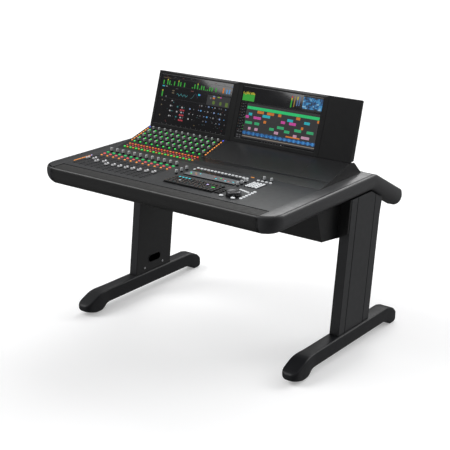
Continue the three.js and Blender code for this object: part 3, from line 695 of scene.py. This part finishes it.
def keyboard():
    """Five staggered rows of dish-topped keys on a backing plate, with a few lit ones."""
    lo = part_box("keyboard")[0]
    x0, y0 = lo.x / MM - LEFT, lo.y / MM - FRONT_Y
    shape = Shape(DECK)
    shape.pad(x0, x0 + 267, y0, y0 + 93, 0.3, 2.0, "slot", 2.0, 0.4)
    rows = (
        (0, (1.25, 1.25, 1.25, 5.5, 1.25, 1.25, 1.25, 1, 1)),
        (1, (1.9,) + (1,) * 10 + (2.1, 1)),
        (2, (1.7,) + (1,) * 11 + (1.3, 1)),
        (3, (1.4,) + (1,) * 12 + (1.6,)),
        (4, (1,) * 15),
    )
    lit = {(2, 2): "lit_white", (3, 10): "lilac", (2, 12): "green", **{(4, i): "cyan" for i in range(1, 5)}}
    tints = ("legend_sand", "legend_sand", "legend_red", "legend_sand", "legend_teal", "legend_sand")
    for row, widths in rows:
        x = x0 + 0.6
        scale = 265.8 / sum(widths)
        for i, width in enumerate(widths):
            w = width * scale
            y = y0 + 18.6 * row + 1.2
            top = 6.6 + 0.5 * abs(row - 2)
            shape.pad(x + 1.1, x + w - 1.1, y, y + 16.2, 1.6, top, "key", 2.0, 1.2, 2, 0.5)
            look = lit.get((row, i))
            if look:
                shape.inlay(x + 3.2, x + w - 3.2, y + 4.6, y + 11, 1.2, top - 0.6, top + 0.1, look, 1)
            else:
                tint = tints[(i * 5 + row * 3) % len(tints)]
                right = x + min(w - 3.4, 10.0)
                shape.inlay(x + 3.4, right, y + 8.6, y + 11.4, 0.8, top - 0.4, top + 0.08, tint, 1)
            x += w
    shape.piece("keyboard_keys", "console", "dark_key", 35, ["keyboard"])

    side = Shape(DECK)
    for row in range(4):
        for i in range(2):
            x, y = 817 + 15 * i, 146 + 15.5 * row
            side.pad(x, x + 12.5, y, y + 12.5, 0, 5.4, "key", 2.0, 1.2, 2, 0.4)
    side.piece("cursor_keys", "console", "dark_key")


def keypad():
    """Five rows of four lit keys on a backing plate."""
    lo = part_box("keypad")[0]
    x0, y0 = lo.x / MM - LEFT, lo.y / MM - FRONT_Y
    shape = Shape(DECK)
    shape.pad(x0, x0 + 66.4, y0, y0 + 72.5, 0.3, 2.2, "slot", 2.0, 0.4)
    for row in range(5):
        for column in range(4):
            x, y = x0 + 16.6 * column + 1.9, y0 + 14.5 * row + 1.9
            shape.pad(x + 0.6, x + 12.2, y + 0.7, y + 10, 1.8, 5.8, "lit_white", 2.0, 1.2, 2, 0.4)
    shape.piece("keypad_keys", "console", "light_key", 35, ["keypad"])


def editor_display():
    lo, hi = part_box("editor_display")
    x0, x1 = lo.x / MM - LEFT, hi.x / MM - LEFT
    y0, y1 = lo.y / MM - FRONT_Y, hi.y / MM - FRONT_Y
    shape = Shape(DECK)
    shape.pad(x0, x1, y0, y1, 0.3, 4.6, "screen", 2.5, 0.9)
    shape.inlay(x0 + 1.5, x1 - 1.5, y0 + 1.5, y0 + 58, 1.0, 4.4, 4.75, "lcd", 1)
    spots = ((0.03, 0.62, "cyan"), (0.08, 0.3, "green"), (0.13, 0.65, "lcd_amber"), (0.19, 0.3, "lcd_red"),
             (0.22, 0.7, "cyan"), (0.52, 0.7, "lcd_red"), (0.60, 0.35, "cyan"), (0.66, 0.65, "green"),
             (0.72, 0.6, "lcd_red"), (0.80, 0.3, "cyan"), (0.86, 0.35, "lcd_red"), (0.95, 0.4, "cyan"))
    for u, v, look in spots:
        cx, cy = x0 + 8 + (x1 - x0 - 16) * u, y0 + 4 + 52 * v
        shape.inlay(cx - 4, cx + 4, cy - 3, cy + 3, 1, 4.6, 4.95, look, 1)
    for i in range(8):
        x = x0 + 16 + (x1 - x0 - 32) * i / 7
        shape.inlay(x - 12, x + 12, y0 + 30, y0 + 30.6, 0.2, 4.6, 4.9, "slot", 1)
    shape.piece("editor_display_panel", "console", "screen", 35, ["editor_display"])


def editor_controls():
    keys = Shape(DECK)

    def key(x, y, w=12.0, d=9.0):
        keys.pad(x - w / 2, x + w / 2, y - d / 2, y + d / 2, 0, 3.3, "lit_white", 2.0, 1.0)

    for i in range(15):
        key(537 + 19.3 * i, 394)
        if i % 2 == 0:
            key(537 + 19.3 * i, 368)
    for i in range(3):
        for j in range(2):
            key(803 + 18 * j + 3 * i, 372 - 13 * i, 12, 8)
    for i in range(4):
        key(864 + 21.5 * i, 397)
        key(884 + 15.5 * i, 243 - 4 * i, 11.5)
    for i in range(6):
        key(957 - 1.2 * i, 146 + 21.2 * i, 12, 11.5)
    keys.pad(808, 825, 419, 424, 0, 1.6, "amber", 1.2, 0.6)
    keys.piece("editor_keys", "console", "light_key")

    knobs = Shape(DECK)
    for x, y in ((510, 272), (510, 308), (510, 344), (838, 284), (837, 314), (833, 345), (881, 418),
                 (919, 418)):
        tall_knob(knobs, x, y, 0.2, 6.0, 17.5)
    knobs.piece("editor_knobs", "console", "knob")

    ring = Shape(DECK)
    ring.turn([(34.6, 0), (34.6, 0.4), (34.0, 0.7), (32.9, 0.7), (32.6, 0.2), (0.01, 0.2)], *JOG, "black", 64)
    ring.piece("jog_wheel_ring", "console", "slope")


def jog_wheel():
    shape = Shape(DECK)
    x, y = JOG
    shape.spindle(x, y, 1.4)
    shape.turn([(29, 0.9), (31.6, 1.2), (32, 2.4), (32, 15.6), (31.4, 17.6), (30.2, 19.0), (28.8, 19.7),
                (27.6, 19.9), (27.0, 19.5)], x, y, "wheel", 144, 0.22, 48)
    shape.turn([(27.2, 18.2), (27.2, 19.4), (26.4, 19.9), (15.5, 19.9), (14.8, 19.7), (9.0, 19.5),
                (0.01, 19.4)], x, y, "wheel", 96)
    dimple = [(4.6, 19.95), (4.6, 20.3), (4.0, 20.4), (3.4, 20.1), (0.01, 19.98)]
    shape.turn(dimple, x + 10, y + 18, "black", 32)
    shape.piece("jog_wheel_disc", "jog", "wheel", 32, ["jog_wheel"])


def push_keys():
    for name, x in PUSH_KEYS.items():
        shape = Shape(DECK)
        shape.pad(x - 8.5, x + 8.5, PUSH_KEY_Y - 6, PUSH_KEY_Y + 6, 3.0, 7.0, "lit_white", 2.4, 1.2, 3, 0.3)
        shape.spindle(x, PUSH_KEY_Y, 4, "white")
        shape.piece(name + "_key_cap", name, "light_key", 35, [name + "_key"])
    wells = Shape(DECK)
    for x in PUSH_KEYS.values():
        wells.inlay(x - 9.4, x + 9.4, PUSH_KEY_Y - 6.9, PUSH_KEY_Y + 6.9, 2.8, 0, 0.15, "slot")
    wells.piece("push_key_wells", "console", "dark_key")


# --------------------------------------------------------------------- displays

SCREEN_W, SCREEN_H, SCREEN_V, RECESS = 440.0, 243.0, 18.5, 0.8
SCREEN_U = {"left": 17.0, "right": 514.0}


def screen_frame(name):
    """The frame at the lower left corner of a screen's face."""
    return DISPLAY @ Matrix.Translation((SCREEN_U[name], SCREEN_V, -RECESS))


class Picture(Shape):
    """Flat lit marks on a screen's face, in UI_COLOURS. u runs right and v up, in millimetres."""

    def __init__(self, name):
        super().__init__(screen_frame(name))

    def mark(self, u0, u1, v0, v1, look, r=0.8, level=0.0):
        self.inlay(u0, u1, v0, v1, r, -0.1, 0.1 + level, "ui_" + look, 1)

    def trace(self, points, width, look):
        """A thin line through points."""
        for (ua, va), (ub, vb) in zip(points, points[1:]):
            d = Vector((vb - va, ua - ub)).normalized() * width / 2
            ring = [(ua - d.x, va - d.y), (ua + d.x, va + d.y), (ub + d.x, vb + d.y), (ub - d.x, vb - d.y)]
            self.loft([[(u, v, z) for u, v in ring] for z in (0.0, 0.12)], "ui_" + look, (False, True))


def screens():
    for name in SCREEN_U:
        pane = Shape(screen_frame(name))
        pane.pad(GAP, SCREEN_W - GAP, GAP, SCREEN_H - GAP, -5.8, 0, "screen", 1.5, 0.5)
        pane.piece(name + "_screen_pane", "console", "screen", 35, [name + "_screen"])
    left_picture().piece("left_screen_picture", "console", "screen")
    right_picture().piece("right_screen_picture", "console", "screen")


def left_picture():
    """Level meters, a curve panel and a grid of channel dots."""
    p = Picture("left")
    dice = random.Random(3)
    p.mark(2, 438, 189.6, 190.3, "line")
    p.mark(2, 438, 129.0, 129.7, "line")
    p.mark(8, 430, 226, 227, "line")
    for u, top in ((20, 213), (44, 219), (57, 214), (68, 197), (87, 213), (112, 219), (126, 215), (150, 214),
                   (200, 199), (214, 214), (231, 219), (244, 197), (255, 213), (269, 212), (280, 196),
                   (292, 199), (305, 213), (319, 212), (343, 213)):
        p.mark(u - 3.2, u + 3.2, 193, min(top, 214), "green")
        if top > 215:
            p.mark(u - 3.2, u + 3.2, 214, top + 1.5, "yellow")
    p.mark(382, 390, 193, 218, "orange")
    p.mark(403, 411, 193, 213, "sky")
    p.mark(418, 426, 194, 214, "sky")
    for v, look in ((229, "sky_dim"), (222, "amber_dim"), (205, "red_dim")):
        p.mark(431, 436, v - 3, v + 2, look)
    p.mark(15, 30, 182, 187, "cyan")
    p.mark(36, 48, 182, 187, "grey")
    p.mark(18, 26, 134, 160, "green")
    p.mark(18, 26, 160, 166, "yellow")
    p.mark(46, 52, 133, 139, "grey")
    for u in range(8):
        p.mark(30 + 50 * u, 42 + 50 * u, 232, 234, "grey_dim" if u % 2 else "red_dim")
    p.mark(16, 60, 224, 227.5, "amber_dim")
    curve = [(113 + 3 * i, 152 + 5 * math.sin(i * 0.9) + 2.5 * math.sin(i * 2.3)) for i in range(23)]
    p.trace(curve, 2.6, "teal")
    p.trace([(200 + 3 * i, 144 + 0.45 * i * i) for i in range(8)], 3.0, "teal_dim")
    p.trace([(224 + 2 * i, 170 - 0.25 * i * i) for i in range(10)], 1.6, "blue_dim")
    p.mark(243, 253, 163, 172, "cyan")
    p.mark(253, 258, 164, 171, "blue")
    p.mark(195, 212, 177, 182, "red_dim")
    p.mark(100, 116, 178, 181, "grey_dim")
    p.mark(332, 345, 168, 174, "pale_blue")
    p.mark(332, 345, 160, 166.5, "orange")
    p.mark(360, 373, 168, 173, "lime")
    p.mark(374, 383, 168, 173, "pink")
    p.mark(316, 324, 158, 166, "grey")
    p.mark(334, 349, 134, 151, "olive", 4)
    p.mark(376, 389, 134, 151, "olive", 3)
    p.mark(411, 427, 131, 151, "olive")
    p.mark(300, 436, 128, 176, "panel", 0.8, -0.08)
    for v in (168, 157):
        p.mark(80, 96, v - 3, v + 3, "sand", 3)
    for v in (117, 92.5, 42):
        p.mark(25, 34, v - 4, v + 4, "sand", 4)
    p.mark(44, 50, 112, 117, "grey_dim")
    looks = ("white", "grey", "teal", "white", "teal", "pale_blue", "grey")
    for row, v in enumerate((94.5, 70.5, 45.5)):
        for i, u in enumerate((88, 98, 132, 160, 173, 209, 232)):
            size = 4.4 if i in (0, 2, 3, 5) else 2.8
            look = looks[(i + row) % len(looks)] if i not in (0, 3) else "white"
            p.mark(u - size, u + size, v - size * 0.8, v + size * 0.8, look, 2)
        for u in (152, 162, 172):
            p.mark(u - 3, u + 5, v - 17, v - 9, "red", 2)
        for i, u in enumerate((262, 276, 300, 318, 340, 356, 381, 394, 420)):
            size = 4.6 if i % 2 else 2.8
            look = ("grey", "pale_blue", "grey", "sky", "grey_dim")[(i * 2 + row) % 5]
            shift = 24 if u > 250 else 0
            p.mark(u - size, u + size, v + shift - size * 0.8, v + shift + size * 0.8, look, 2)
    for i, u in enumerate((300, 318, 355, 378, 398, 428)):
        p.mark(u - 3.4, u + 3.4, 44, 50, ("grey", "sky_dim", "grey_dim")[i % 3], 2)
    for _ in range(64):
        u, v = dice.uniform(60, 430), dice.uniform(12, 124)
        look = dice.choice(("red_dim", "teal_dim", "grey_dim", "panel", "panel"))
        p.mark(u, u + dice.uniform(2, 7), v, v + 2.4, look, 0.6)
    for i in range(13):
        p.mark(50 + 30.4 * i, 53.5 + 30.4 * i, 3, 7, "grey_dim")
    p.mark(247, 255, 17, 22, "amber_dim", 2)
    p.mark(88, 96, 117, 122, "white", 2)
    p.mark(100, 106, 111, 115, "teal", 2)
    return p


def right_picture():
    """A timeline: coloured clips on tracks, meters, and a small abstract picture."""
    p = Picture("right")
    dice = random.Random(5)
    p.mark(40, 438, 8, 168, "panel", 0.8, -0.08)
    p.mark(2, 438, 171.5, 172.3, "line")
    for i in range(16):
        u = 6 + 4.15 * i
        top = (218, 210, 214, 204, 219, 216, 220, 213, 219, 208, 216, 219, 215, 220, 217, 214)[i]
        p.mark(u, u + 4.2, 177, 208, "green")
        p.mark(u, u + 3.6, 208, top, "yellow")
    p.mark(272, 279, 179, 212, "green")
    p.mark(272, 279, 212, 222, "yellow")
    p.mark(272, 279, 222, 231, "red")
    p.mark(289, 293, 183, 232, "amber")
    p.mark(303, 309, 189, 216, "sky_dim")
    p.mark(303, 309, 216, 231, "yellow")
    p.mark(315, 320, 191, 231, "sky_dim")
    for i in range(7):
        p.mark(326, 330, 186 + 7 * i, 189 + 7 * i, "red_dim" if i % 2 else "grey_dim")
    p.mark(336, 439, 176, 241, "black", 0.5)
    for i in range(17):
        for j in range(9):
            u, v = 336 + 103 / 17 * i, 183 + 52 / 9 * j
            wave = 0.5 + 0.5 * math.sin(i * 0.7 + 1.4 * math.sin(j * 0.9)) * math.cos(j * 0.6 - i * 0.25)
            step = min(4, int(5 * (0.55 * wave + 0.45 * dice.random())))
            p.mark(u, u + 6.1, v, v + 5.85, f"sea_{step}", 0.05, 0.04)
    p.mark(43, 438, 142, 155.5, "mint", 1.5)
    clips = (
        (134, "orange", ((103, 128), (129, 139), (157, 184), (185, 196), (219, 236), (317, 339),
                            (429, 439))),
        (119.5, "cyan", ((57, 76), (135, 177), (272, 303), (363, 393))),
        (106, "pink", ((42, 60), (87, 106), (107, 129), (240, 263), (285, 322))),
        (93.5, "orange", ((146, 161), (352, 364))),
        (80, "clip_green", ((46, 84), (98, 125), (225, 262), (319, 356), (385, 421))),
        (67, "clip_green", ((184, 210), (266, 295))),
        (54, "clip_pale", ((68, 82), (104, 122), (214, 236), (317, 337), (361, 404))),
    )
    for v, look, spans in clips:
        for u0, u1 in spans:
            p.mark(u0, u1, v - 6, v + 6, look, 1.2)
            for i in range(int((u1 - u0) / 5)):
                u = u0 + 2.5 + 5 * i
                h = dice.uniform(1.2, 4.2)
                p.mark(u, u + 2.4, v - h, v + h, look + "_deep", 0.4, 0.06)
    p.mark(279, 355, 43.5, 49.5, "orange", 1.2)
    p.mark(40, 439, 24, 40.5, "navy", 0.6)
    for i in range(16):
        u = 40 + 25 * i
        for j in range(6):
            h = (3.2, 6.0, 7.6, 7.2, 5.6, 3.6)[j]
            if u + 4 * j < 435:
                look = "sky" if j in (2, 3) else "azure"
                p.mark(u + 4 * j, u + 4 * j + 4.1, 32 - h, 32 + h, look, 0.3)
    p.mark(42, 439, 14.2, 17.8, "sand_light", 0.8)
    for i in range(9):
        p.mark(156 + 15 * i, 160 + 15 * i, 2, 5, "grey_dim" if i != 7 else "white")
    for i in range(10):
        v = 40 + 13.3 * i
        p.mark(14, 22, v, v + 3.2, "grey_dim")
        p.mark(26, 33, v + 4, v + 7, "grey_dim")
        p.mark(6, 9, v + 1, v + 4, ("red_dim", "teal_dim", "amber_dim")[i % 3])
    for v in (30, 14, 4):
        p.mark(9, 20, v, v + 6, "grey_dim")
        p.mark(24, 34, v, v + 6, "grey_dim")
    for v in (100, 61, 45):
        p.mark(35, 39, v, v + 4, "green")
    for i in range(12):
        p.mark(70 + 24 * i, 80 + 24 * i, 161, 163, "line")
    return p


UI_COLOURS = {
    "green": (0.02, 0.5, 0.02), "yellow": (0.7, 0.62, 0.02), "red": (0.7, 0.03, 0.06),
    "orange": (0.95, 0.26, 0.01), "amber": (0.6, 0.34, 0.02), "sky": (0.1, 0.42, 0.9),
    "sky_dim": (0.1, 0.22, 0.5), "azure": (0.02, 0.25, 0.75), "navy": (0.005, 0.05, 0.16),
    "blue": (0.1, 0.1, 0.7), "blue_dim": (0.04, 0.05, 0.14), "cyan": (0.0, 0.66, 0.78),
    "teal": (0.03, 0.26, 0.28), "teal_dim": (0.015, 0.1, 0.11), "pale_blue": (0.3, 0.42, 0.75),
    "white": (0.6, 0.6, 0.62), "grey": (0.24, 0.24, 0.26), "grey_dim": (0.07, 0.07, 0.08),
    "pink": (0.9, 0.07, 0.5), "lime": (0.4, 0.6, 0.02), "olive": (0.12, 0.22, 0.01),
    "sand": (0.16, 0.12, 0.06), "sand_light": (0.4, 0.33, 0.27), "mint": (0.0, 0.8, 0.22),
    "clip_green": (0.02, 0.6, 0.22), "clip_pale": (0.85, 0.45, 0.65), "red_dim": (0.14, 0.02, 0.02),
    "amber_dim": (0.14, 0.09, 0.02), "line": (0.03, 0.03, 0.034), "panel": (0.014, 0.0145, 0.017),
    "black": (0.001, 0.001, 0.001),
    "sea_0": (0.002, 0.01, 0.03), "sea_1": (0.005, 0.06, 0.18), "sea_2": (0.01, 0.16, 0.42),
    "sea_3": (0.05, 0.36, 0.75), "sea_4": (0.35, 0.7, 0.95),
}
for key in ("orange", "cyan", "pink", "clip_green", "clip_pale"):
    UI_COLOURS[key + "_deep"] = shade(UI_COLOURS[key], 0.72)
for key, colour in UI_COLOURS.items():
    M["ui_" + key] = glow("picture_" + key, colour, 0.62, (0.01, 0.01, 0.01))



# --------------------------------------------------------------- rear and inside

def rear_details():
    """A row of fasteners along the hood's slope."""
    y = RAIL_END_Y - 60
    screws = Shape(frame_at(y, DESK_Z - 1 - RAIL_DROP * (y - BEND_Y), -math.atan(RAIL_DROP)))
    for x in (-560, -280, 0, 280, 560):
        screws.turn([(4.6, -0.5), (4.6, 1.2), (3.8, 1.9), (2.2, 2.0), (2.1, 1.0), (0.01, 1.0)], x - LEFT, 0,
                    "screw", 18)
    screws.piece("hood_screws", "console", "supply")


CAD_LOOKS = {
    "panel": ("fader_panel", "editor_panel"),
    "slope": ("button_strip", "knob_slope_panel", "centre_slope_panel", "right_slope_panel"),
    "housing": ("right_cheek", "left_cheek", "left_display_bezel", "right_display_bezel",
                "blank_display_panel", "display_rear_cover"),
    "chassis": ("deck_tray", "electronics_tub", "rear_hood"),
    "leg": ("right_leg_column", "left_leg_column"),
    "plate": ("right_leg_plate", "left_leg_plate"),
    "sheet": ("power_supply", "connector_panel"),
    "board": ("processor_board",),
}
SOFT_EDGES = {"right_leg_column": 1.6, "left_leg_column": 1.6, "electronics_tub": 1.2, "rear_hood": 0.8,
              "left_display_bezel": 0.9, "right_display_bezel": 0.9, "blank_display_panel": 0.9,
              "display_rear_cover": 1.2, "fader_panel": 0.35, "editor_panel": 0.35, "button_strip": 0.6,
              "knob_slope_panel": 0.6, "centre_slope_panel": 0.6, "right_slope_panel": 0.6}


def build():
    for look, nodes in CAD_LOOKS.items():
        for node in nodes:
            dress(node, look, SOFT_EDGES.get(node, 0.4))
    front_edge()
    armrest()
    for side in ("right", "left"):
        rail(side)
        rail_shadow_line(side)
        foot(side)
        leg_screws(side)
        hole_lining(side)
    fader_bay()
    for k, rest in enumerate((13, 20, -5, 8, -16, -10, -8, -5, -1, 1, 8, 15)):
        fader_cap(k, rest)
        channel_knob(k)
    strip_keys()
    slope_controls()
    keyboard()
    keypad()
    editor_display()
    editor_controls()
    jog_wheel()
    push_keys()
    screens()
    rear_details()


# ------------------------------------------------------------------------ stage

def camera():
    data = bpy.data.cameras.new("camera")
    data.sensor_width = 36
    data.lens = 86.95
    obj = new_object("camera", data)
    yaw, pitch = math.radians(37.45), math.radians(18.93)
    look = Vector((-math.sin(yaw) * math.cos(pitch), math.cos(yaw) * math.cos(pitch), -math.sin(pitch)))
    obj.location = (2.9013, -3.2452 + FRONT_Y * MM, 2.1340)
    obj.rotation_mode = "QUATERNION"
    obj.rotation_quaternion = look.to_track_quat("-Z", "Y")
    data.clip_start, data.clip_end = 0.05, 200
    bpy.context.scene.camera = obj


def soft_sun(name, azimuth, elevation, spread, strength):
    """A wide soft light from far away. Azimuth 0 is straight in front, and 90 is from the +X side."""
    data = bpy.data.lights.new(name, "SUN")
    data.angle = math.radians(spread)
    data.energy = strength
    obj = new_object(name, data)
    a, e = math.radians(azimuth), math.radians(elevation)
    toward = Vector((math.sin(a) * math.cos(e), -math.cos(a) * math.cos(e), math.sin(e)))
    obj.rotation_mode = "QUATERNION"
    obj.rotation_quaternion = toward.to_track_quat("Z", "Y")


def soft_panel(name, place, aim, size, power):
    """A square light panel near the object, so that its sheen fades along the desk."""
    data = bpy.data.lights.new(name, "AREA")
    data.shape, data.size, data.energy = "SQUARE", size, power
    obj = new_object(name, data)
    obj.location = place
    obj.visible_camera = False
    obj.rotation_mode = "QUATERNION"
    obj.rotation_quaternion = (Vector(place) - Vector(aim)).to_track_quat("Z", "Y")


ROOM_DIM = 0.06
ROOM = (((0, 0, 1), 1.5, 0.6), ((-0.6, -0.75, -0.3), 3, 0.3), ((0.6, 0.75, -0.25), 3, 0.28),
        ((-0.6, 0.75, 0.35), 3, 0.1))


def stage():
    mesh = bpy.data.meshes.new("floor")
    far = 40
    mesh.from_pydata([(-far, -far, 0), (far, -far, 0), (far, far, 0), (-far, far, 0)], [], [(0, 1, 2, 3)])
    floor = new_object("floor", mesh)
    n = Nodes("floor_pale")
    n.paint(n.noise(0.6, 2), (0.79, 0.79, 0.795), (0.81, 0.81, 0.815))
    n.set(Roughness=0.9, Specular_IOR_Level=0.1, Emission_Color=(1, 1, 1, 1), Emission_Strength=0.3)
    mesh.materials.append(n.material)
    floor.visible_glossy = False

    soft_sun("light_back_left", -172, 44, 44, 1.0)
    soft_panel("panel_back", (-0.65, 1.9, 2.1), (0.4, -0.2, 0.8), 1.3, 11.0)
    soft_sun("light_back_right", 148, 27, 30, 1.0)
    soft_sun("light_front", -54, 42, 34, 1.4)
    bpy.context.scene.world = studio()
    bpy.context.scene.view_settings.view_transform = "Standard"


def studio():
    """The room around the object: dim, paler overhead, with broad soft panels low at two corners."""
    world = bpy.data.worlds.new("studio")
    world.use_nodes = True
    tree = world.node_tree
    back = tree.nodes["Background"]
    back.inputs["Color"].default_value = (1, 1, 1, 1)
    way = tree.nodes.new("ShaderNodeTexCoord").outputs["Generated"]

    def combine(operation, value, number):
        node = tree.nodes.new("ShaderNodeMath")
        node.operation = operation
        tree.links.new(value, node.inputs[0])
        node.inputs[1].default_value = number
        return node

    total = None
    for toward, sharpness, radiance in ROOM:
        dot = tree.nodes.new("ShaderNodeVectorMath")
        dot.operation = "DOT_PRODUCT"
        tree.links.new(way, dot.inputs[0])
        dot.inputs[1].default_value = Vector(toward).normalized()
        value = dot.outputs["Value"]
        for operation, number in (("MAXIMUM", 0.0), ("POWER", sharpness), ("MULTIPLY", radiance)):
            value = combine(operation, value, number).outputs[0]
        node = combine("ADD", value, ROOM_DIM)
        if total is not None:
            tree.links.new(total, node.inputs[1])
        total = node.outputs[0]
    tree.links.new(total, back.inputs["Strength"])
    return world


build()
camera()
stage()
